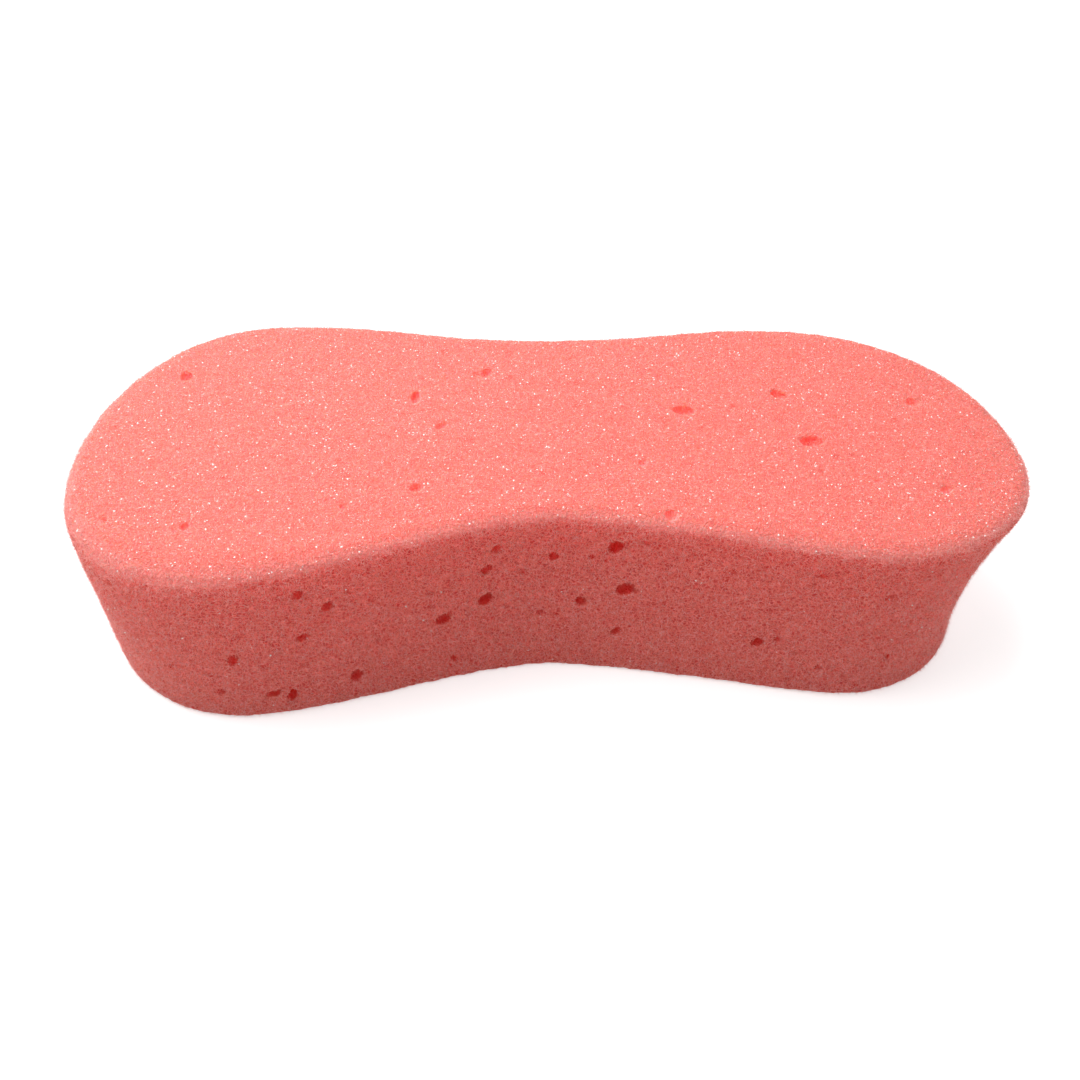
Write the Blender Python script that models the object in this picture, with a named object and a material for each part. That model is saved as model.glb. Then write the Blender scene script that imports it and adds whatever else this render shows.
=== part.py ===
# An expanding sponge: one peanut-shaped block of soft foam, with larger bubbles open in its cut faces.
# Metres, +Z up. The origin is the middle of the base. +X runs along the length to the smaller lobe.
# -Y is the front, where the waist is cut deepest.

import math
import random

import bmesh
import bpy
from mathutils import Matrix, Vector
from mathutils.geometry import interpolate_bezier

# Size of the block
LENGTH = 0.220
THICKNESS = 0.050
LEFT_LOBE_WIDTH = 0.0945
RIGHT_LOBE_WIDTH = 0.0845
BACK_WAIST_DEPTH = 0.008      # how far the waist is cut in from the left lobe's back
FRONT_WAIST_DEPTH = 0.0157    # the same at the front, at the base
FRONT_WAIST_LEAN = 0.0027     # how much further in the front of the waist is at the top than at the base

# Where the outline turns, from the nearer end or from the middle
LEFT_LOBE_FROM_END = 0.039
RIGHT_BACK_FROM_END = 0.053
RIGHT_FRONT_FROM_END = 0.038
BACK_WAIST_OFFSET = -0.003
FRONT_WAIST_OFFSET = 0.002
RIGHT_LOBE_OFFSET = 0.0015    # the right lobe sits a little further back
LEFT_END_OFFSET = -0.0044
RIGHT_END_OFFSET = -0.0077

# Edges and walls
EDGE_RADIUS = 0.0035          # top edge at the waist and the right lobe
SOFT_EDGE_RADIUS = 0.007      # top edge at the left lobe, which is softer
SOFT_EDGE_START = -0.030      # the edge starts to soften here along X
SOFT_EDGE_FULL = -0.085       # and is at its softest from here to the left end
BASE_EDGE_RADIUS = 0.0015
END_HOLLOW = 0.0044           # the right end wall is hollow
END_TUCK = 0.0052             # and its foot is tucked under
FRONT_TUCK = 0.0008           # the foot of the front wall is tucked under less
FACING_POWER = 1.5            # how fast a wall's hollow fades as the wall turns away

# How finely the surface is drawn
STRETCH_POINTS = 14           # points of the outline from one turn to the next
BASE_EDGE_STEPS = 2
WALL_STEPS = 6
TOP_EDGE_STEPS = 4
FACE_RING_STEP = 0.009        # the flat top and base are divided by rings this far apart
FACE_RINGS = 2

# The bubbles that stand out at the front: share of the way from the middle to an end, share of the thickness,
# length and width in millimetres, and slant in degrees
FRONT_BUBBLES = [
    (-0.840, 0.830, 2.6, 2.0, 45),
    (-0.770, 0.350, 2.2, 1.6, 0),
    (-0.673, 0.212, 3.0, 2.1, 54),
    (-0.626, 0.446, 4.3, 2.5, 55),
    (-0.568, 0.172, 4.6, 2.3, 29),
    (-0.531, 0.142, 5.0, 2.3, 63),
    (-0.483, 0.528, 4.2, 1.8, 25),
    (-0.473, 0.813, 3.7, 2.7, 44),
    (-0.424, 0.704, 3.7, 2.4, 51),
    (-0.396, 0.183, 4.8, 2.7, 69),
    (-0.207, 0.431, 4.3, 3.1, 36),
    (-0.195, 0.144, 2.8, 2.1, 85),
    (-0.121, 0.510, 5.0, 3.2, 48),
    (-0.116, 0.706, 3.6, 2.4, 48),
    (-0.095, 0.824, 3.2, 2.4, 44),
    (-0.010, 0.379, 2.6, 2.1, 83),
    (0.018, 0.745, 3.1, 2.4, 39),
    (0.074, 0.463, 3.6, 2.9, 73),
    (0.095, 0.755, 2.3, 1.8, 35),
    (0.142, 0.823, 4.4, 3.3, 50),
    (0.154, 0.284, 4.0, 2.1, 52),
    (0.165, 0.567, 5.0, 3.7, 44),
    (0.202, 0.868, 2.0, 1.8, 40),
    (0.446, 0.330, 4.2, 2.5, 53),
    (0.484, 0.371, 2.7, 1.9, 51),
    (0.540, 0.823, 2.5, 1.8, 6),
    (0.583, 0.207, 2.3, 2.2, -30),
    (0.672, 0.709, 2.2, 1.8, -43),
    (0.725, 0.280, 2.4, 1.8, 86),
]

# The bubbles that stand out in the top: shares of the way from the middle to an end and to the back,
# length and width in millimetres, and slant in degrees
TOP_BUBBLES = [
    (-0.855, -0.642, 2.7, 1.8, -66),
    (-0.811, 0.449, 4.5, 3.3, -79),
    (-0.693, -0.687, 2.7, 2.5, -19),
    (-0.568, -0.674, 2.5, 1.8, 84),
    (-0.398, -0.550, 2.3, 2.1, -55),
    (-0.285, 0.264, 5.6, 2.4, -87),
    (-0.258, -0.427, 3.4, 2.9, 43),
    (-0.222, 0.034, 4.0, 2.1, 37),
    (-0.131, 0.482, 3.9, 3.0, 53),
    (0.201, -0.249, 2.6, 1.9, 66),
    (0.245, -0.609, 3.5, 2.9, -60),
    (0.303, 0.159, 5.9, 3.5, -10),
    (0.519, 0.293, 4.9, 3.6, -35),
    (0.562, -0.084, 6.3, 3.9, 7),
    (0.672, -0.380, 2.7, 1.9, 15),
    (0.714, -0.385, 1.8, 1.5, 59),
    (0.800, -0.441, 3.7, 2.4, 39),
    (0.809, 0.230, 3.5, 3.3, 9),
]

# Bubbles of the same kind, scattered over the sides that the front view hides
BACK_BUBBLES = 20
END_BUBBLES = 6
BASE_BUBBLES = 14
SMALLEST_BUBBLE = 0.0020
LARGEST_BUBBLE = 0.0040
NARROWEST = 0.55              # a scattered bubble's least width as a share of its length
BUBBLE_DEPTH = 0.9            # a bubble's depth as a share of the mean of its length and width
BUBBLE_SINK = 0.3             # its middle lies this share of half its depth under the surface
BUBBLE_UNEVEN = 0.10          # how uneven its skin is, as a share of its size
BUBBLE_GAP = 0.0015           # least foam between two bubbles
FACE_MARGIN = 0.006           # scattered bubbles keep this far from the edges of their face
BASE_CLEAR = 0.012            # the middle of the base stays whole, as the face that it rests on
STEEPEST_SLANT = 45           # of the scattered bubbles, in degrees
SEED = 7

FOAM_COLOUR = (0.93, 0.27, 0.23, 1.0)
FOAM_ROUGHNESS = 0.9
SHARP_ANGLE = 40              # edges sharper than this are drawn sharp, in degrees

MM = 0.001
ALONG_X = Vector((1, 0))
ALONG_Y = Vector((0, 1))
UP = Vector((0, 0, 1))

# The outline's points are counted clockwise from the left end: over the back, the right end, the front
RIGHT_END = 4 * STRETCH_POINTS
LAST_POINT = 8 * STRETCH_POINTS


def outline(share):
    """The outline at a share of the wall's height, from 0 at the base to 1, clockwise seen from above."""
    left = LEFT_LOBE_WIDTH / 2
    right = RIGHT_LOBE_WIDTH / 2
    left_lobe = -LENGTH / 2 + LEFT_LOBE_FROM_END
    front_waist = -left + FRONT_WAIST_DEPTH + FRONT_WAIST_LEAN * share
    # Each turn has its place, its tangent, and how full the curve is on the way in and on the way out
    turns = [
        ((-LENGTH / 2, LEFT_END_OFFSET), ALONG_Y, 0.57, 0.57),
        ((left_lobe, left), ALONG_X, 0.55, 0.42),
        ((BACK_WAIST_OFFSET, left - BACK_WAIST_DEPTH), ALONG_X, 0.46, 0.52),
        ((LENGTH / 2 - RIGHT_BACK_FROM_END, RIGHT_LOBE_OFFSET + right), ALONG_X, 0.32, 0.60),
        ((LENGTH / 2, RIGHT_END_OFFSET), ALONG_Y, 0.58, 0.58),
        ((LENGTH / 2 - RIGHT_FRONT_FROM_END, RIGHT_LOBE_OFFSET - right), ALONG_X, 0.55, 0.17),
        ((FRONT_WAIST_OFFSET, front_waist), ALONG_X, 0.28, 0.24),
        ((left_lobe, -left), ALONG_X, 0.30, 0.61),
    ]
    points = []
    for turn, following in zip(turns, turns[1:] + turns[:1]):
        place, tangent, _, way_out = turn
        next_place, next_tangent, way_in, _ = following
        start, end = Vector(place), Vector(next_place)
        step = end - start
        handle_out = start + tangent * (way_out * step.dot(tangent))
        handle_in = end - next_tangent * (way_in * step.dot(next_tangent))
        points += interpolate_bezier(start, handle_out, handle_in, end, STRETCH_POINTS + 1)[:-1]
    return [point.to_2d() for point in points]


def outward(points):
    """The outward direction at each point of a clockwise outline."""
    normals = []
    for before, after in zip(points[-1:] + points[:-1], points[1:] + points[:1]):
        along = (after - before).normalized()
        normals.append(Vector((-along.y, along.x)))
    return normals


def edge_radius(x):
    """The top edge's radius, which grows smoothly towards the left end."""
    share = min(max((SOFT_EDGE_START - x) / (SOFT_EDGE_START - SOFT_EDGE_FULL), 0), 1)
    smooth = share * share * (3 - 2 * share)
    return EDGE_RADIUS + (SOFT_EDGE_RADIUS - EDGE_RADIUS) * smooth


def wall_inset(normal, share):
    """How far the wall lies inside the outline at a share of its height."""
    right = max(normal.x, 0) ** FACING_POWER
    front = max(-normal.y, 0) ** FACING_POWER
    tuck = right * END_TUCK + front * FRONT_TUCK
    return right * END_HOLLOW * 4 * share * (1 - share) + tuck * (1 - share)


def section(radius):
    """The block's section for one top edge radius: heights and insets, from the base face to the top face."""
    quarter = math.pi / 2
    wall_height = THICKNESS - radius - BASE_EDGE_RADIUS
    points = []
    for step in range(FACE_RINGS, 0, -1):
        points.append((0, BASE_EDGE_RADIUS + step * FACE_RING_STEP))
    for step in range(BASE_EDGE_STEPS + 1):
        turn = quarter * step / BASE_EDGE_STEPS
        height = BASE_EDGE_RADIUS * (1 - math.cos(turn))
        points.append((height, BASE_EDGE_RADIUS * (1 - math.sin(turn))))
    for step in range(1, WALL_STEPS):
        points.append((BASE_EDGE_RADIUS + wall_height * step / WALL_STEPS, 0))
    for step in range(TOP_EDGE_STEPS + 1):
        turn = quarter * step / TOP_EDGE_STEPS
        points.append((THICKNESS - radius + radius * math.sin(turn), radius * (1 - math.cos(turn))))
    for step in range(1, FACE_RINGS + 1):
        points.append((THICKNESS, radius + step * FACE_RING_STEP))
    return points


def side_point(place, height, inset=0):
    """A point of the side and its outward direction, at a place counted along the outline's points."""
    first = int(place) % LAST_POINT
    second = (first + 1) % LAST_POINT
    low = LOW_OUTLINE[first].lerp(LOW_OUTLINE[second], place % 1)
    high = HIGH_OUTLINE[first].lerp(HIGH_OUTLINE[second], place % 1)
    normal = OUTWARD[first].lerp(OUTWARD[second], place % 1).normalized()
    share = min(height / (THICKNESS - edge_radius(low.x)), 1)
    point = low.lerp(high, share) - normal * (inset + wall_inset(normal, share))
    return Vector((point.x, point.y, height)), Vector((normal.x, normal.y, 0))


def block_mesh():
    """The block without its bubbles: the section carried round the outline, closed by a flat top and base."""
    mesh = bmesh.new()
    columns = []
    for index in range(LAST_POINT):
        steps = section(edge_radius(LOW_OUTLINE[index].x))
        columns.append([mesh.verts.new(side_point(index, height, inset)[0]) for height, inset in steps])
    for column, following in zip(columns, columns[1:] + columns[:1]):
        for step in range(len(column) - 1):
            mesh.faces.new((column[step], column[step + 1], following[step + 1], following[step]))
    mesh.faces.new([column[0] for column in columns])
    mesh.faces.new([column[-1] for column in reversed(columns)])
    return mesh


def front_place(x):
    """Where the front of the outline has this X, counted along its points."""
    for index in range(RIGHT_END, LAST_POINT):
        here = LOW_OUTLINE[index].x
        there = LOW_OUTLINE[(index + 1) % LAST_POINT].x
        if there <= x <= here:
            return index + (here - x) / (here - there)
    raise ValueError("the front has no such place")


def is_inside(place, points):
    """Whether a place lies inside a closed outline, by counting the edges to its right."""
    crossings = 0
    for start, end in zip(points, points[1:] + points[:1]):
        if (start.y > place.y) != (end.y > place.y):
            edge_x = start.x + (end.x - start.x) * (place.y - start.y) / (end.y - start.y)
            crossings += place.x < edge_x
    return crossings % 2 == 1


class Bubble:
    """An uneven hollow in a face: its opening's middle, the face's outward direction, and its sizes."""

    def __init__(self, middle, normal, length, width, slant):
        self.middle = middle
        self.normal = normal
        self.length = length
        self.width = width
        self.slant = slant

    def is_clear_of(self, others):
        """Whether it leaves enough foam between itself and each of the other bubbles."""
        for other in others:
            gap = (self.middle - other.middle).length - (self.length + other.length) / 2
            if gap < BUBBLE_GAP:
                return False
        return True

    def add_to(self, mesh, chance):
        """Adds its closed hollow to the cutter's mesh."""
        across = UP.cross(self.normal) if abs(self.normal.z) < 0.5 else Vector((1, 0, 0))
        across = Matrix.Rotation(math.radians(self.slant), 3, self.normal) @ across.normalized()
        depth = BUBBLE_DEPTH * (self.length + self.width) / 2
        centre = self.middle - self.normal * (BUBBLE_SINK * depth / 2)
        turn = Matrix((across, self.normal.cross(across), self.normal)).transposed().to_4x4()
        size = Matrix.Diagonal((self.length / 2, self.width / 2, depth / 2, 1))
        ball = bmesh.ops.create_icosphere(mesh, subdivisions=2, radius=1)
        for vertex in ball["verts"]:
            vertex.co *= 1 + chance.uniform(-BUBBLE_UNEVEN, BUBBLE_UNEVEN)
        bmesh.ops.transform(mesh, matrix=Matrix.Translation(centre) @ turn @ size, verts=ball["verts"])


def random_size(chance):
    """The length, width and slant of a scattered bubble: most are small."""
    length = SMALLEST_BUBBLE + (LARGEST_BUBBLE - SMALLEST_BUBBLE) * chance.random() ** 2
    return length, length * chance.uniform(NARROWEST, 1), chance.uniform(-STEEPEST_SLANT, STEEPEST_SLANT)


def scatter(bubbles, count, chance, pick):
    """Adds scattered bubbles in the places that pick offers, each clear of all others."""
    wanted = len(bubbles) + count
    while len(bubbles) < wanted:
        place = pick(chance)
        if place is None:
            continue
        bubble = Bubble(*place, *random_size(chance))
        if bubble.is_clear_of(bubbles):
            bubbles.append(bubble)


def wall_pick(first, last):
    """Offers places on the wall between two of the outline's points."""
    def pick(chance):
        lowest = BASE_EDGE_RADIUS + FACE_MARGIN
        highest = THICKNESS - SOFT_EDGE_RADIUS - FACE_MARGIN
        return side_point(chance.uniform(first, last), chance.uniform(lowest, highest))
    return pick


def base_pick(chance):
    """Offers places in the base that are clear of its edge and its middle."""
    edge = [side_point(index, 0, BASE_EDGE_RADIUS + FACE_MARGIN)[0] for index in range(LAST_POINT)]
    x = chance.uniform(-LENGTH / 2, LENGTH / 2)
    y = chance.uniform(-LEFT_LOBE_WIDTH / 2, LEFT_LOBE_WIDTH / 2)
    place = Vector((x, y, 0))
    if place.length < BASE_CLEAR or not is_inside(place, edge):
        return None
    return place, -UP


def all_bubbles(chance):
    """Every bubble of the block: those that stand out in the front and the top, then the scattered ones."""
    bubbles = []
    for along, rise, length, width, slant in FRONT_BUBBLES:
        place, normal = side_point(front_place(along * LENGTH / 2), rise * THICKNESS)
        bubbles.append(Bubble(place, normal, length * MM, width * MM, slant))
    for along, back, length, width, slant in TOP_BUBBLES:
        place = Vector((along * LENGTH / 2, back * LEFT_LOBE_WIDTH / 2, THICKNESS))
        bubbles.append(Bubble(place, UP, length * MM, width * MM, slant))
    end_start = RIGHT_END - STRETCH_POINTS / 2
    scatter(bubbles, BACK_BUBBLES, chance, wall_pick(0, end_start))
    scatter(bubbles, END_BUBBLES, chance, wall_pick(end_start, RIGHT_END + STRETCH_POINTS / 2))
    scatter(bubbles, BASE_BUBBLES, chance, base_pick)
    return bubbles


def foam_material():
    """Dyed polyurethane foam: salmon pink and quite dull."""
    material = bpy.data.materials.new("salmon_foam")
    material.use_nodes = True
    shader = material.node_tree.nodes["Principled BSDF"]
    shader.inputs["Base Color"].default_value = FOAM_COLOUR
    shader.inputs["Roughness"].default_value = FOAM_ROUGHNESS
    shader.inputs["Metallic"].default_value = 0
    return material


def new_object(name, mesh, collection):
    """Makes an object of a bmesh, in one collection."""
    data = bpy.data.meshes.new(name)
    mesh.to_mesh(data)
    mesh.free()
    thing = bpy.data.objects.new(name, data)
    collection.objects.link(thing)
    return thing


def new_collection(name):
    """Makes a collection in the scene."""
    collection = bpy.data.collections.new(name)
    bpy.context.scene.collection.children.link(collection)
    return collection


for old in list(bpy.data.objects):
    bpy.data.objects.remove(old)

LOW_OUTLINE = outline(0)
HIGH_OUTLINE = outline(1)
OUTWARD = outward(LOW_OUTLINE)

parts = new_collection("expanding_sponge")
cutters = new_collection("cutters")

hollows = bmesh.new()
luck = random.Random(SEED)
for bubble in all_bubbles(luck):
    bubble.add_to(hollows, luck)
bubble_cutter = new_object("bubble_cutter", hollows, cutters)
bubble_cutter.hide_render = True
bubble_cutter.display_type = "WIRE"

sponge = new_object("sponge_block", block_mesh(), parts)
sponge.data.materials.append(foam_material())
sponge.data.shade_smooth()
sponge.data.set_sharp_from_angle(angle=math.radians(SHARP_ANGLE))

open_bubbles = sponge.modifiers.new("open bubbles", "BOOLEAN")
open_bubbles.operation = "DIFFERENCE"
open_bubbles.solver = "EXACT"
open_bubbles.object = bubble_cutter
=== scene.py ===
# %% [markdown]
# A washing sponge is one block of soft polyurethane foam, cut to shape with a hot wire or a knife. Nothing is fitted
# to it, so all of its looks come from the foam itself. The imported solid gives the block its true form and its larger
# bubbles. This lesson dresses that form: first the open frame, then the foam's skin, its torn cells and its glints.

import math

import bpy
import numpy as np
from mathutils import Matrix, Vector
from mathutils.bvhtree import BVHTree


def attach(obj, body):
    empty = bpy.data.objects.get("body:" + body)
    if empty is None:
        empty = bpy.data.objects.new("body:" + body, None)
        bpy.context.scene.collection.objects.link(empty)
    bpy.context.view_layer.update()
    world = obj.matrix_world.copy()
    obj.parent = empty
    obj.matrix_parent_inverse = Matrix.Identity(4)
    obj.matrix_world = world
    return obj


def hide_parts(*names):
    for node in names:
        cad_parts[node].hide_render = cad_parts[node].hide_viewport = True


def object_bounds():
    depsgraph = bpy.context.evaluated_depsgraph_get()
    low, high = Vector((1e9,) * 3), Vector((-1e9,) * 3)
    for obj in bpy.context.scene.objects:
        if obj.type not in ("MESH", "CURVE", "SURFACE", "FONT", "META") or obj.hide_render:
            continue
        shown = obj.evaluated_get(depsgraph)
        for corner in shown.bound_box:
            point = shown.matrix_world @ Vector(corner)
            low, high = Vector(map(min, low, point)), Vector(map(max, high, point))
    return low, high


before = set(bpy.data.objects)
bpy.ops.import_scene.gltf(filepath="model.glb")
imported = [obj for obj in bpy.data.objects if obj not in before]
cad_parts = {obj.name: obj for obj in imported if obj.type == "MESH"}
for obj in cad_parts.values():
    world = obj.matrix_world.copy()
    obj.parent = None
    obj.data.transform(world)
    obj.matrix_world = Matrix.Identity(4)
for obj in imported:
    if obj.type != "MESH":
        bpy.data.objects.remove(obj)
cad_low, cad_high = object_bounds()
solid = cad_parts["sponge_block"]
print("the solid is", [round((high - low) * 1000, 1) for low, high in zip(cad_low, cad_high)], "mm")

# %% [markdown]
# Sizes are easiest to judge in millimetres, and colours in the hex codes that a colour picker shows. Blender wants
# metres and linear light, so one value and one function do the turning over. Each node of a material is added by the
# same small function, which keeps the recipes below short enough to read as recipes.

# %% Units, colours and nodes
MM = 0.001


def linear(hex_code):
    """Turns an sRGB hex code into the linear colour that a shader takes."""
    shades = [int(hex_code[place:place + 2], 16) / 255 for place in (1, 3, 5)]
    return [s / 12.92 if s <= 0.04045 else ((s + 0.055) / 1.055) ** 2.4 for s in shades] + [1.0]


def add_node(tree, kind, inputs=None, **settings):
    """Adds a node to a tree: settings are its own choices, and inputs are values for its sockets or links to them."""
    made = tree.nodes.new(kind)
    for name, value in settings.items():
        setattr(made, name, value)
    for name, value in (inputs or {}).items():
        if isinstance(value, bpy.types.NodeSocket):
            tree.links.new(value, made.inputs[name])
        else:
            made.inputs[name].default_value = value
    return made


def new_material(name):
    """Makes an empty material and its output node."""
    material = bpy.data.materials.new(name)
    material.use_nodes = True
    material.node_tree.nodes.clear()
    return material, material.node_tree, add_node(material.node_tree, "ShaderNodeOutputMaterial")


print("mid grey in linear light:", round(linear("#808080")[0], 3))

# %% [markdown]
# The solid has flat facets and sharp bubble rims. Real foam has neither: a cut face is grainy, because the knife opens
# one cell after another. A voxel remesh turns the solid into an even skin of small squares, which a few displacements
# can then roughen, from the slow swell of the whole face down to single torn cells. Each displacement has a size in
# millimetres. A decimation then brings the count down, and spends the triangles where the relief is.

# %% Roughen the block
VOXEL = 0.56 * MM                # side of the even skin's squares
SKIN_TRIANGLES = 196000          # what is left of them after the thinning
SWELL = (24 * MM, 0.5 * MM)      # size and depth of the slow unevenness of the cut faces
LUMPS = (4.5 * MM, 0.32 * MM)    # of the soft lumps where the foam tore rather than cut
GRAIN = (1.3 * MM, 0.34 * MM)    # of the grain that single cells give


def baked(thing):
    """Applies an object's modifiers, and gives it the mesh that they make."""
    evaluated = thing.evaluated_get(bpy.context.evaluated_depsgraph_get())
    old = thing.data
    thing.data = bpy.data.meshes.new_from_object(evaluated)
    thing.modifiers.clear()
    bpy.data.meshes.remove(old)


def displace(thing, name, size, depth):
    """Moves the skin in and out by cloudy noise of one size."""
    texture = bpy.data.textures.new(name, "CLOUDS")
    texture.noise_scale = size
    push = thing.modifiers.new(name, "DISPLACE")
    push.texture = texture
    push.texture_coords = "LOCAL"
    push.mid_level = 0.5
    push.strength = depth
    return texture


foam_block = bpy.data.objects.new("foam_block", solid.data.copy())
bpy.context.scene.collection.objects.link(foam_block)
skin = foam_block.modifiers.new("even skin", "REMESH")
skin.mode = "VOXEL"
skin.voxel_size = VOXEL
displace(foam_block, "swell", *SWELL)
displace(foam_block, "lumps", *LUMPS).noise_depth = 1
displace(foam_block, "grain", *GRAIN).noise_depth = 1
baked(foam_block)
print("even skin:", len(foam_block.data.vertices), "points")

# %% [markdown]
# The block lies on its base, so its foot is flat however rough the rest is: nothing may reach below the floor. A
# bubble is darker and redder inside than the face round it, because light that reaches its bottom has been through
# more foam; the material paints that shade in. To let the material know where the bubbles are, each point of the skin
# looks out along its own normal and to its sides, and notes how much of what it sees is foam close by.

# %% Thin the skin, flatten its foot and find its hollows
HOLLOW_REACH = 4.5 * MM          # foam further away than this doesn't count as a bubble's other side
LOOKS = ((30, 4), (60, 6))       # how far the looks to the sides lean from the normal in degrees, and how many
LIFT_OFF = 0.03 * MM             # a look starts this far above the skin


def points_of(mesh):
    """A mesh's points as an array."""
    places = np.empty(len(mesh.vertices) * 3, np.float32)
    mesh.vertices.foreach_get("co", places)
    return places.reshape(-1, 3)


def normals_of(mesh):
    """The outward directions at a mesh's points as an array."""
    directions = np.empty(len(mesh.vertices) * 3, np.float32)
    mesh.vertices.foreach_get("normal", directions)
    return directions.reshape(-1, 3)


def looks_round(normal):
    """The directions in which a point of the skin looks: straight out, then leaning out evenly to all sides."""
    side = normal.orthogonal().normalized()
    looks = [normal]
    for lean, count in LOOKS:
        lean = math.radians(lean)
        for step in range(count):
            turn = Matrix.Rotation(math.tau * step / count, 3, normal)
            looks.append(normal * math.cos(lean) + turn @ side * math.sin(lean))
    return looks


thin = foam_block.modifiers.new("thin", "DECIMATE")
thin.ratio = SKIN_TRIANGLES / (2 * len(foam_block.data.polygons))
thin.use_collapse_triangulate = True
baked(foam_block)
places = points_of(foam_block.data)
places[:, 2] = np.maximum(places[:, 2], cad_low.z)
foam_block.data.vertices.foreach_set("co", places.ravel())
foam_block.data.update()
foam_block.data.shade_smooth()

tree_of_faces = BVHTree.FromObject(foam_block, bpy.context.evaluated_depsgraph_get())
directions = normals_of(foam_block.data)
hollow = np.zeros(len(places), np.float32)
for number, (place, direction) in enumerate(zip(places, directions)):
    outward = Vector(direction)
    start = Vector(place) + outward * LIFT_OFF
    looks = looks_round(outward)
    hollow[number] = np.mean([tree_of_faces.ray_cast(start, look, HOLLOW_REACH)[0] is not None for look in looks])
shade = foam_block.data.attributes.new("hollow", "FLOAT", "POINT")
shade.data.foreach_set("value", hollow)
print(len(foam_block.data.polygons), "triangles; the deepest point is", round(float(hollow.max()), 2), "hollow")

# %% [markdown]
# Polyurethane foam is a net of struts round cells that have burst into each other. A cut face shows rims of lighter
# struts and darker pits between them, here about half a millimetre across; the pits' darkness is partly painted shade.
# A Voronoi pattern in three dimensions is the right recipe, because a cut through it shows the same cells on every
# face. A coarser net of thicker struts and slow patches keep it from looking woven. Single cells would be lost between
# the picture's points, so the patterns are drawn somewhat coarser than the real ones.

# %% Foam: the cells and the coarser net
CELLS_PER_MM = 1.2
CELL_EDGE = (0.01, 0.16)             # how far from a cell's wall the strut begins to end and the pit is full
NET_PER_MM = 0.8                     # the coarser net of thicker struts
NET_EDGE = (0.02, 0.16)              # the same for the net's struts
NET_PITS = 0.25                      # how much of the pits is left on those struts
PATCHES_PER_MM = 0.45                # patches in which the cells are more open or less
PATCHES = (0.3, 0.7)                 # the noise from which a patch is least open to where it is most open
PATCH_PITS = 0.6                     # how much of the pits is left where the cells are least open
BEND_PER_MM = 0.9                    # noise that bends the patterns, so that no row of cells is straight
BEND = 0.9                           # how far it bends them in millimetres

foam, tree, output = new_material("open-cell polyurethane foam")
where = add_node(tree, "ShaderNodeTexCoord")
in_mm = add_node(tree, "ShaderNodeVectorMath", {0: where.outputs["Object"], "Scale": 1 / MM}, operation="SCALE")
bend = add_node(tree, "ShaderNodeTexNoise", {"Vector": in_mm.outputs[0], "Scale": BEND_PER_MM, "Detail": 0.0})
bent = add_node(tree, "ShaderNodeVectorMath", {0: bend.outputs["Color"], 1: (BEND, BEND, BEND), 2: in_mm.outputs[0]},
                operation="MULTIPLY_ADD")
cells = add_node(tree, "ShaderNodeTexVoronoi", {"Vector": bent.outputs[0], "Scale": CELLS_PER_MM},
                 feature="DISTANCE_TO_EDGE")
pits = add_node(tree, "ShaderNodeMapRange", {"Value": cells.outputs["Distance"], "From Min": CELL_EDGE[0],
                                             "From Max": CELL_EDGE[1]}, interpolation_type="SMOOTHSTEP")
patches = add_node(tree, "ShaderNodeTexNoise", {"Vector": in_mm.outputs[0], "Scale": PATCHES_PER_MM, "Detail": 3.0})
uneven = add_node(tree, "ShaderNodeMapRange", {"Value": patches.outputs["Fac"], "From Min": PATCHES[0],
                                               "From Max": PATCHES[1], "To Min": PATCH_PITS})
net = add_node(tree, "ShaderNodeTexVoronoi", {"Vector": bent.outputs[0], "Scale": NET_PER_MM},
               feature="DISTANCE_TO_EDGE")
between_net = add_node(tree, "ShaderNodeMapRange", {"Value": net.outputs["Distance"], "From Min": NET_EDGE[0],
                                                    "From Max": NET_EDGE[1], "To Min": NET_PITS})
uneven_pits = add_node(tree, "ShaderNodeMath", {0: pits.outputs[0], 1: uneven.outputs[0]}, operation="MULTIPLY")
all_pits = add_node(tree, "ShaderNodeMath", {0: uneven_pits.outputs[0], 1: between_net.outputs[0]},
                    operation="MULTIPLY")
print("foam:", CELLS_PER_MM, "cells and", NET_PER_MM, "thick struts to the millimetre")

# %% [markdown]
# The walls lie in shade and show their pits clearly, while on the top the light fills them, so the pits' painted shade
# follows the way that the skin faces. The rounded edge between the two is painted paler, a painted highlight for the
# light that its torn struts catch from all sides. The highlight stays out of bubbles, whose lips face all ways too.

# %% Foam: face, top and painted rim highlight
FOAM_STRUT = linear("#f9857b")       # lit struts of dyed polyurethane foam
PIT_GRAIN_AND_SHADE = linear("#cc2b25")         # the open cells between them, partly painted shade
RIM_PAINTED_HIGHLIGHT = linear("#ffaca4")         # painted highlight: the edge's torn struts catch light
TOP_CONTRAST = 0.5                   # how strong the pits' painted shade is on the lit top
TOP_TO_WALL = (0.8, 0.2)             # how much the skin faces up where the top's strength ends and the wall's is full
RIM_HIGHLIGHT_SHARE = 0.4                      # how much of the painted highlight the rim takes
WALL_TO_RIM = (0.2, 0.5)             # how much the skin faces up where the rim begins, from below
TOP_TO_RIM = (0.95, 0.75)            # and from above
OUT_OF_HOLLOWS = (0.18, 0.05)        # how hollow the skin is where the rim ends, and where it is full

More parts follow.
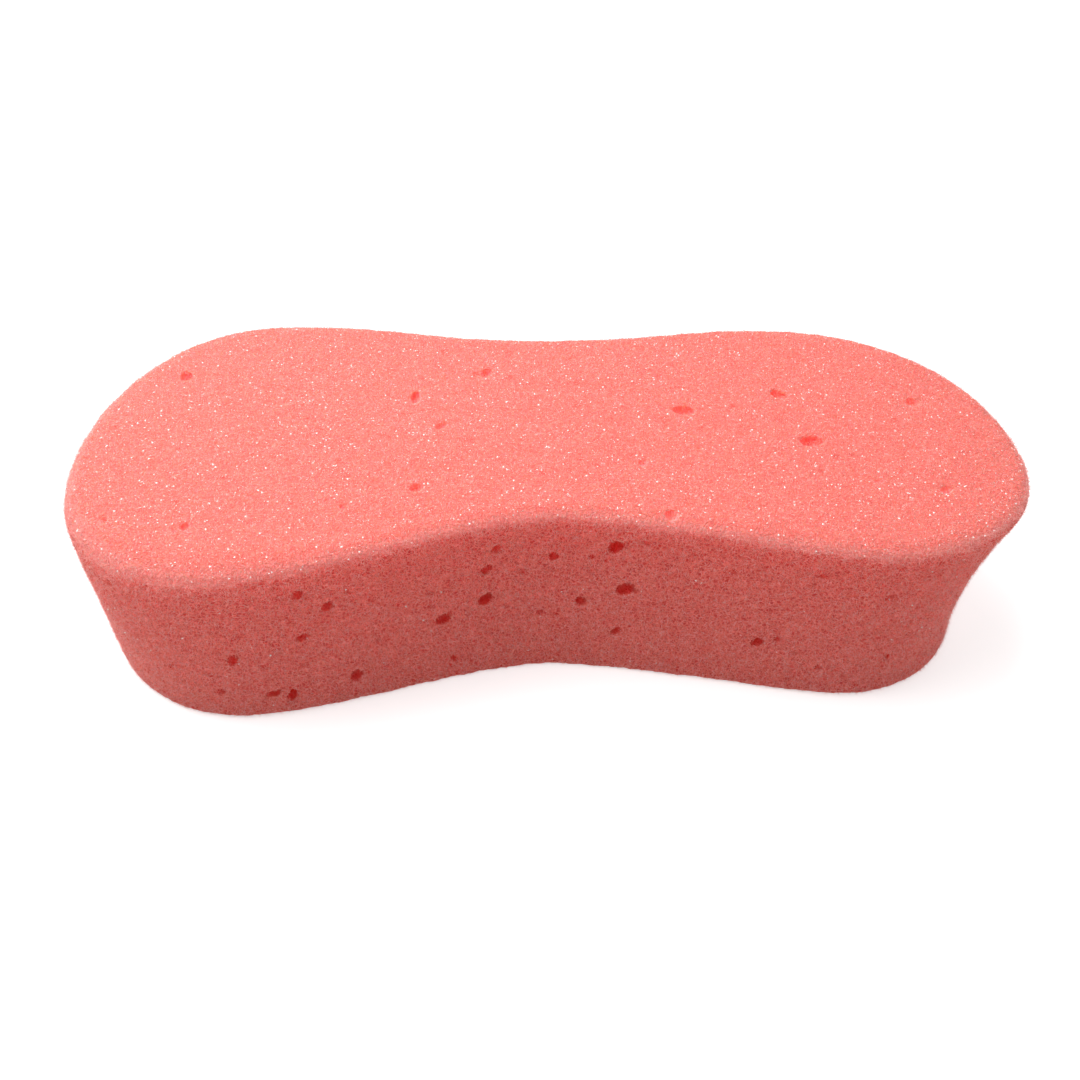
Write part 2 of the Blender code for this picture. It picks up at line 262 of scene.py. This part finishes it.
turned = add_node(tree, "ShaderNodeSeparateXYZ", {0: where.outputs["Normal"]})
# Painted shade: the pits are drawn stronger on the walls, which lie in shade, than on the lit top.
shade_by_facing = add_node(tree, "ShaderNodeMapRange", {"Value": turned.outputs["Z"], "From Min": TOP_TO_WALL[0],
                                                   "From Max": TOP_TO_WALL[1], "To Min": TOP_CONTRAST})
pit_painted_shade = add_node(tree, "ShaderNodeMath", {0: all_pits.outputs[0], 1: shade_by_facing.outputs[0]},
                     operation="MULTIPLY")
# The pits' colour is the foam's cell grain, partly painted shade.
face = add_node(tree, "ShaderNodeMix", {"Factor": pit_painted_shade.outputs[0], 6: FOAM_STRUT, 7: PIT_GRAIN_AND_SHADE}, data_type="RGBA")
# Painted highlight: the rounded edge and a wall's upward slopes are drawn paler, where light catches them.
rim_from_wall = add_node(tree, "ShaderNodeMapRange", {"Value": turned.outputs["Z"], "From Min": WALL_TO_RIM[0],
                                                      "From Max": WALL_TO_RIM[1], "To Max": RIM_HIGHLIGHT_SHARE})
rim_from_top = add_node(tree, "ShaderNodeMapRange", {"Value": turned.outputs["Z"], "From Min": TOP_TO_RIM[0],
                                                     "From Max": TOP_TO_RIM[1]})
rim = add_node(tree, "ShaderNodeMath", {0: rim_from_wall.outputs[0], 1: rim_from_top.outputs[0]}, operation="MULTIPLY")
seen = add_node(tree, "ShaderNodeAttribute", attribute_name="hollow")
smooth = add_node(tree, "ShaderNodeMapRange", {"Value": seen.outputs["Fac"], "From Min": OUT_OF_HOLLOWS[0],
                                               "From Max": OUT_OF_HOLLOWS[1]})
rim_highlight_share = add_node(tree, "ShaderNodeMath", {0: rim.outputs[0], 1: smooth.outputs[0]}, operation="MULTIPLY")
rim_highlighted = add_node(tree, "ShaderNodeMix", {"Factor": rim_highlight_share.outputs[0], 6: face.outputs[2], 7: RIM_PAINTED_HIGHLIGHT},
                  data_type="RGBA")
print("the pattern has", TOP_CONTRAST, "of its strength on the top")

# %% [markdown]
# The block's own bubbles are hollows of its skin, and take a painted colour from how hollow it is. In a wall they are
# painted darker than the face, as painted shade. In the top, light seeps in from the foam all round, so they are
# painted hardly darker, only redder, a painted-lit copy that is soft from lip to lip. Smaller bubbles than the solid
# has are
# drawn as soft spots of painted shade: a third, much coarser Voronoi pattern gives each of its cells a random colour,
# and a cell whose colour comes out high has a spot at its centre.

# %% Foam: painted shade in its bubbles and small spots
BUBBLE_PAINTED_SHADE = linear("#d03a2e")      # painted shade inside a bubble in a wall, and in the spots
BUBBLE_PAINTED_LIGHT = linear("#fc938a")         # painted light inside a bubble in the top
TOP_BUBBLES = (43.0, 47.0)           # heights in mm where painted-shade wall bubbles turn into painted-lit top ones
LIP_WALL = (0.2, 0.7)                # how hollow a wall is where a bubble's colour begins, and where it is full
LIP_TOP = (0.06, 0.36)               # the same in the top
SPOTS_PER_MM = 0.24                  # the spots' own pattern
SPOT_LUCK = 0.6                      # cells of the pattern whose random value is under this have no spot
SPOT_SIZE = 0.34                     # the largest spot's radius as a share of the pattern's step
SPOT_EDGE = 0.2                      # how far its edge fades, as a share of the same step
SPOT_SHARE = 0.7                     # how much of a bubble's painted shade it takes

spots = add_node(tree, "ShaderNodeTexVoronoi", {"Vector": bent.outputs[0], "Scale": SPOTS_PER_MM}, feature="F1")
luck = add_node(tree, "ShaderNodeSeparateColor", {0: spots.outputs["Color"]})
radius = add_node(tree, "ShaderNodeMapRange", {"Value": luck.outputs[0], "From Min": SPOT_LUCK, "To Max": SPOT_SIZE})
inside = add_node(tree, "ShaderNodeMath", {0: radius.outputs[0], 1: spots.outputs["Distance"]}, operation="SUBTRACT")
any_spot = add_node(tree, "ShaderNodeMapRange", {"Value": inside.outputs[0], "From Max": SPOT_EDGE,
                                                 "To Max": SPOT_SHARE}, interpolation_type="SMOOTHSTEP")
# Painted shade: the small spots are drawn weaker on the lit top than on the shaded walls.
spot = add_node(tree, "ShaderNodeMath", {0: any_spot.outputs[0], 1: shade_by_facing.outputs[0]}, operation="MULTIPLY")
spotted = add_node(tree, "ShaderNodeMix", {"Factor": spot.outputs[0], 6: rim_highlighted.outputs[2], 7: BUBBLE_PAINTED_SHADE},
                   data_type="RGBA")
high = add_node(tree, "ShaderNodeSeparateXYZ", {0: in_mm.outputs[0]})
in_top = add_node(tree, "ShaderNodeMapRange", {"Value": high.outputs["Z"], "From Min": TOP_BUBBLES[0],
                                               "From Max": TOP_BUBBLES[1]})
lip = add_node(tree, "ShaderNodeMapRange", {"Value": in_top.outputs[0], "To Min": LIP_WALL[0], "To Max": LIP_TOP[0]})
deep = add_node(tree, "ShaderNodeMapRange", {"Value": in_top.outputs[0], "To Min": LIP_WALL[1], "To Max": LIP_TOP[1]})
depth = add_node(tree, "ShaderNodeMapRange", {"Value": seen.outputs["Fac"], "From Min": lip.outputs[0],
                                              "From Max": deep.outputs[0]})
# Painted shade in wall bubbles, turning by height into a painted-lit copy in the top ones.
bubble = add_node(tree, "ShaderNodeMix", {"Factor": in_top.outputs[0], 6: BUBBLE_PAINTED_SHADE, 7: BUBBLE_PAINTED_LIGHT}, data_type="RGBA")
colour = add_node(tree, "ShaderNodeMix", {"Factor": depth.outputs[0], 6: spotted.outputs[2],
                                          7: bubble.outputs[2]}, data_type="RGBA")
print("bubbles turn from wall to top at", TOP_BUBBLES, "mm up")

# %% [markdown]
# The same pits that give the colour give the bump, so that a pit is dark and deep in the same place. Light travels far
# through foam and loses its green and blue on the way, so the subsurface radius is long for red alone. More of it goes
# in where the skin is hollow, so a bubble glows red. Foam has no gloss: its roughness is high and its shine very low.

# %% Foam: relief and body
PIT_DEPTH = 0.4 * MM                 # how deep the bump makes a pit
LIGHT_REACH = 40 * MM                # how far red light travels through the foam
REACH_SHARES = (1.0, 0.05, 0.03)     # the share of that reach for red, green and blue
SEEPING = (0.45, 0.85)               # the share of the light that goes in on an open face, and inside a bubble

relief = add_node(tree, "ShaderNodeBump", {"Height": pits.outputs[0], "Distance": PIT_DEPTH, "Strength": 1.0},
                  invert=True)
mass = add_node(tree, "ShaderNodeMapRange", {"Value": depth.outputs[0], "To Min": SEEPING[0], "To Max": SEEPING[1]})
body = add_node(tree, "ShaderNodeBsdfPrincipled", {
    "Base Color": colour.outputs[2], "Roughness": 0.85, "Specular IOR Level": 0.1, "Normal": relief.outputs[0],
    "Subsurface Weight": mass.outputs[0], "Subsurface Radius": REACH_SHARES, "Subsurface Scale": LIGHT_REACH})
tree.links.new(body.outputs[0], output.inputs["Surface"])
foam_block.data.materials.clear()
foam_block.data.materials.append(foam)
print("foam:", len(tree.nodes), "nodes")

# %% [markdown]
# Where the knife passed, the rims of the opened cells stand up as short torn threads. From a step away they give the
# foam its soft, slightly furry edge, which no bump can give, because a bump leaves the silhouette smooth. Each thread
# is a thin closed spike with three sides, whose foot is sunk in the skin. They are spread by the area of the skin's
# triangles from a fixed seed, so every run gives the same sponge.

# %% Spread points over the skin and grow spikes there
OPEN_ENOUGH = 0.3                        # threads keep out of bubbles: places more hollow than this
CLEAR_OF_FLOOR = 0.02 * MM               # no thread reaches nearer to the floor than this
chance = np.random.default_rng(11)


def spread(mesh, wanted, count):
    """Picks points on the wanted triangles by area: their places, and the outward directions there."""
    corners = np.empty(len(mesh.polygons) * 3, np.int32)
    mesh.polygons.foreach_get("vertices", corners)
    corners = corners.reshape(-1, 3)[wanted]
    a, b, c = (points_of(mesh)[corners[:, side]] for side in range(3))
    across = np.cross(b - a, c - a)
    area = np.linalg.norm(across, axis=1)
    chances = area * (hollow[corners].mean(axis=1) < OPEN_ENOUGH)
    picked = chance.choice(len(area), count, p=chances / chances.sum())
    u, v = chance.random((2, count, 1))
    over = (u + v) > 1
    u, v = np.where(over, 1 - u, u), np.where(over, 1 - v, v)
    places = a[picked] + (b - a)[picked] * u + (c - a)[picked] * v
    return places, across[picked] / area[picked][:, None]


def face_directions(mesh):
    """The direction that each triangle faces."""
    facing = np.empty(len(mesh.polygons) * 3, np.float32)
    mesh.polygons.foreach_get("normal", facing)
    return facing.reshape(-1, 3)


def unit(vectors):
    """The same directions at length one."""
    return vectors / np.linalg.norm(vectors, axis=1, keepdims=True)


def spikes(name, feet, along, length, thickness, material):
    """Makes one object of closed thin spikes: each has three corners at its foot and one at its tip."""
    side = unit(np.cross(along, chance.normal(size=along.shape)))
    other = np.cross(along, side)
    corners = [feet + (side * math.cos(turn) + other * math.sin(turn)) * thickness[:, None] / 2
               for turn in (0, math.tau / 3, 2 * math.tau / 3)]
    points = np.stack(corners + [feet + along * length[:, None]], axis=1)
    points[:, :, 2] = np.maximum(points[:, :, 2], cad_low.z + CLEAR_OF_FLOOR)
    sides = np.array([(0, 2, 1), (0, 1, 3), (1, 2, 3), (2, 0, 3)])
    faces = (np.arange(len(feet))[:, None, None] * 4 + sides).reshape(-1, 3)
    mesh = bpy.data.meshes.new(name)
    mesh.from_pydata(points.reshape(-1, 3).tolist(), [], faces.tolist())
    mesh.materials.append(material)
    made = bpy.data.objects.new(name, mesh)
    bpy.context.scene.collection.objects.link(made)
    return made


def between(limits, count):
    """Random sizes between two limits."""
    return limits[0] + (limits[1] - limits[0]) * chance.random(count)


print(int((hollow >= OPEN_ENOUGH).sum()), "points of the skin lie too deep in bubbles for threads")

# %% [markdown]
# The top's threads are short, rather thick and lie down, which makes its grain. Those on the walls are thin and stand
# nearly upright, so that a wall seen from the side has a pale veil. A thread is so thin that light gets right round and
# through it: it is paler than the mass, and part of its light comes through from behind.

# %% Torn threads
THREADS = {                              # count, length and thickness in millimetres, and lean: 0 stands upright
    "top_threads": (34000, (0.35, 0.9), (0.10, 0.20), 3.6),
    "edge_threads": (30000, (0.7, 2.2), (0.06, 0.12), 1.5),
    "front_threads": (42000, (0.7, 1.8), (0.07, 0.14), 1.4),
    "back_threads": (48000, (0.7, 1.8), (0.07, 0.14), 1.4),
}
FOOT = 0.35                              # the share of a thread that is sunk in the skin
EDGE_FACES = (0.15, 0.85)                # the rounded edge faces up by this much: walls face up less, the top more
BASE_FACES = -0.9                        # what faces down by more than this is the base, which has no threads
BACK_FACES = 0.2                         # walls that face backward by more than this get the back's threads
TORN = linear("#ffd8d2")                 # thin threads of the same foam
THROUGH = linear("#ffbab2")              # what comes through them from the glowing foam behind
LET_THROUGH = 0.45                       # the share of the light that goes through a thread

torn, tree, output = new_material("torn foam threads")
thread_face = add_node(tree, "ShaderNodeBsdfDiffuse", {"Color": TORN})
thread_back = add_node(tree, "ShaderNodeBsdfTranslucent", {"Color": THROUGH})
thread_look = add_node(tree, "ShaderNodeMixShader", {0: LET_THROUGH, 1: thread_face.outputs[0],
                                                     2: thread_back.outputs[0]})
tree.links.new(thread_look.outputs[0], output.inputs["Surface"])

facing = face_directions(foam_block.data)
up, backward = facing[:, 2], facing[:, 1]
wall = (up <= EDGE_FACES[0]) & (up > BASE_FACES)
regions = {"top_threads": up > EDGE_FACES[1], "edge_threads": (up > EDGE_FACES[0]) & (up <= EDGE_FACES[1]),
           "front_threads": wall & (backward < BACK_FACES), "back_threads": wall & (backward >= BACK_FACES)}
threads = []
for name, (count, lengths, thicknesses, lean) in THREADS.items():
    places, outward = spread(foam_block.data, regions[name], count)
    along = unit(outward + lean * unit(chance.normal(size=outward.shape)))
    along *= np.sign((along * outward).sum(1, keepdims=True))
    length = between(lengths, count) * MM
    feet = places - along * length[:, None] * FOOT
    threads.append(spikes(name, feet, along, length, between(thicknesses, count) * MM, torn))
print({piece.name: len(piece.data.polygons) for piece in threads}, "triangles")

# %% [markdown]
# Here and there a cell has kept its thin clear film, and flashes where it happens to face the light: points of light
# all over the top, and a few on the walls. Most are tiny, so their sizes come from a random number raised to a power,
# which leaves only a few large. Each is a small chip of its own, painted near-white as a painted highlight, with the
# shine of a moulded skin.

# %% Glints of whole cells
GLINTS = {"top": 8500, "walls": 700}     # how many there are
GLINT_FACES = 0.5                        # what faces up by more than this has the top's glints
GLINT_SIZE = (0.2 * MM, 0.7 * MM)        # their lengths
MOSTLY_SMALL = 4                         # the power: the higher, the fewer large ones
GLINT_THICKNESS = 0.15                   # as a share of the length
GLINT_LEAN = 0.8                         # as for the threads: 0 stands upright
GLINT_LIFT = 0.1 * MM                    # how far above the skin it begins, clear of the threads' feet
PAINTED_GLINT = linear("#fff4f0")                # painted near-white as the glint of a clear film

glint, tree, output = new_material("cell walls with painted glints")
# Painted highlight: the chips are near-white, so that they show as glints.
shine = add_node(tree, "ShaderNodeBsdfPrincipled", {
    "Base Color": PAINTED_GLINT, "Roughness": 0.3, "Specular IOR Level": 0.8})
tree.links.new(shine.outputs[0], output.inputs["Surface"])
places, outward = (np.concatenate(both) for both in zip(
    spread(foam_block.data, up > GLINT_FACES, GLINTS["top"]), spread(foam_block.data, wall, GLINTS["walls"])))
along = unit(outward + GLINT_LEAN * unit(chance.normal(size=outward.shape)))
size = GLINT_SIZE[0] + (GLINT_SIZE[1] - GLINT_SIZE[0]) * chance.random(len(places)) ** MOSTLY_SMALL
glints = spikes("glints", places + along * GLINT_LIFT, along, size * GLINT_THICKNESS, size, glint)
print(len(glints.data.polygons), "triangles in glints")

# %% [markdown]
# Each piece says what it belongs to: all of it rides on the sponge's one body, and the skin stands for the imported
# solid, which is hidden. The foam is soft and full.

# %% Say what each piece is
for piece in [foam_block, glints] + threads:
    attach(piece, "root")
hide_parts("sponge_block")

# %% [markdown]
# The photograph was taken on a white ground that shows as pure white. The ground here is a matt white one, which glows
# a little and so lights the foot of the walls. For what the camera sees, directly or in a shiny or clear surface, it
# glows more: it is white there, but still takes the soft shadow. Rays that leave a matt surface don't count, so this
# adds no light to the foam.

# %% White ground
FLOOR_SIZE = 6.0                     # in metres, so that its edge is far behind the sponge
GROUND = (0.62, 0.62, 0.62, 1.0)     # matt, and less than white, so that it doesn't light the walls too much
WHITE = (1.0, 1.0, 1.0, 1.0)
GROUND_GLOW = (0.27, 0.60)           # how much the ground glows for matt foam, and for what is seen


def seen_share(tree):
    """One for rays from the camera, or from a shiny or clear surface, and nought for those from a matt one."""
    ray = add_node(tree, "ShaderNodeLightPath")
    share = ray.outputs["Is Camera Ray"]
    for name, operation in (("Is Glossy Ray", "ADD"), ("Is Transmission Ray", "ADD"), ("Is Diffuse Ray", "SUBTRACT")):
        share = add_node(tree, "ShaderNodeMath", {0: share, 1: ray.outputs[name]}, operation=operation).outputs[0]
    return add_node(tree, "ShaderNodeClamp", {"Value": share}).outputs[0]


floor_mesh = bpy.data.meshes.new("floor")
half = FLOOR_SIZE / 2
floor_mesh.from_pydata([(-half, -half, 0), (half, -half, 0), (half, half, 0), (-half, half, 0)], [], [(0, 1, 2, 3)])
floor = bpy.data.objects.new("floor", floor_mesh)
bpy.context.scene.collection.objects.link(floor)
floor.location.z = cad_low.z

white, tree, output = new_material("matt white ground")
ground = add_node(tree, "ShaderNodeBsdfDiffuse", {"Color": GROUND})
glow = add_node(tree, "ShaderNodeMapRange", {"Value": seen_share(tree), "To Min": GROUND_GLOW[0],
                                             "To Max": GROUND_GLOW[1]})
lift = add_node(tree, "ShaderNodeEmission", {"Color": WHITE, "Strength": glow.outputs[0]})
lit = add_node(tree, "ShaderNodeAddShader", {0: ground.outputs[0], 1: lift.outputs[0]})
tree.links.new(lit.outputs[0], output.inputs["Surface"])
floor_mesh.materials.append(white)
print("the ground is", FLOOR_SIZE, "m wide and lies at", round(floor.location.z, 4), "m")

# %% [markdown]
# The photograph's top is bright and its walls are in soft shade, the front more than the right. That asks for a wide
# light above, a little to the left, and a sky that is dark on the camera's side and brighter behind and to the right.
# The sky's brightness follows the way that a ray goes, and is full white for what is seen.

# %% White tent and softbox
SKY_FRONT, SKY_BACK = 0.0, 0.9       # how bright the tent is on the camera's side and behind the sponge
SKY_TURN = (-0.6, 1.0)               # how far back a ray goes where the first ends and where the second is full
SKY_RIGHT = 0.52                     # what is added to that towards the right
SOFTBOX = (0.50, 0.40)               # its width and depth in metres
SOFTBOX_PLACE = Vector((-0.19, 0.075, 0.48))
SOFTBOX_POWER = 3.8

sky = bpy.data.worlds.new("white tent")
sky.use_nodes = True
sky.node_tree.nodes.clear()
tree = sky.node_tree
way = add_node(tree, "ShaderNodeTexCoord")
parts = add_node(tree, "ShaderNodeSeparateXYZ", {0: way.outputs["Generated"]})
tent = add_node(tree, "ShaderNodeMapRange", {"Value": parts.outputs["Y"], "From Min": SKY_TURN[0],
                                             "From Max": SKY_TURN[1], "To Min": SKY_FRONT, "To Max": SKY_BACK})
right = add_node(tree, "ShaderNodeMapRange", {"Value": parts.outputs["X"], "From Min": -1.0, "From Max": 1.0,
                                              "To Max": SKY_RIGHT})
both = add_node(tree, "ShaderNodeMath", {0: tent.outputs[0], 1: right.outputs[0]})
level = add_node(tree, "ShaderNodeMix", {"Factor": seen_share(tree), "A": both.outputs[0], "B": 1.0})
back = add_node(tree, "ShaderNodeBackground", {"Color": WHITE, "Strength": level.outputs[0]})
tree.links.new(back.outputs[0], add_node(tree, "ShaderNodeOutputWorld").inputs["Surface"])
bpy.context.scene.world = sky

lamp = bpy.data.lights.new("softbox", "AREA")
lamp.shape = "RECTANGLE"
lamp.size, lamp.size_y = SOFTBOX
lamp.energy = SOFTBOX_POWER
softbox = bpy.data.objects.new("softbox", lamp)
bpy.context.scene.collection.objects.link(softbox)
softbox.location = SOFTBOX_PLACE
softbox.rotation_euler = (-SOFTBOX_PLACE).to_track_quat("-Z", "Y").to_euler()
bpy.context.scene.view_settings.view_transform = "Standard"
print("softbox", lamp.energy, "W, sky", SKY_FRONT, "to", SKY_BACK)

# %% [markdown]
# The camera's place was worked out from the sponge's outline: it looks down at half a right angle from in front. Its
# near limit is drawn in to a centimetre, because the sponge is small and the camera close.

# %% Camera and finish
CAMERA_PLACE = (-0.0011, -0.1838, 0.1972)
CAMERA_TILT = math.radians(45)       # from straight down
LENS, SENSOR = 33.33, 36             # in millimetres, which is how a camera gives them
NEAR_LIMIT = 10 * MM

view = bpy.data.cameras.new("camera")
view.lens = LENS
view.sensor_width = SENSOR
view.clip_start = NEAR_LIMIT
camera = bpy.data.objects.new("camera", view)
bpy.context.scene.collection.objects.link(camera)
camera.location = CAMERA_PLACE
camera.rotation_euler = (CAMERA_TILT, 0, 0)
bpy.context.scene.camera = camera
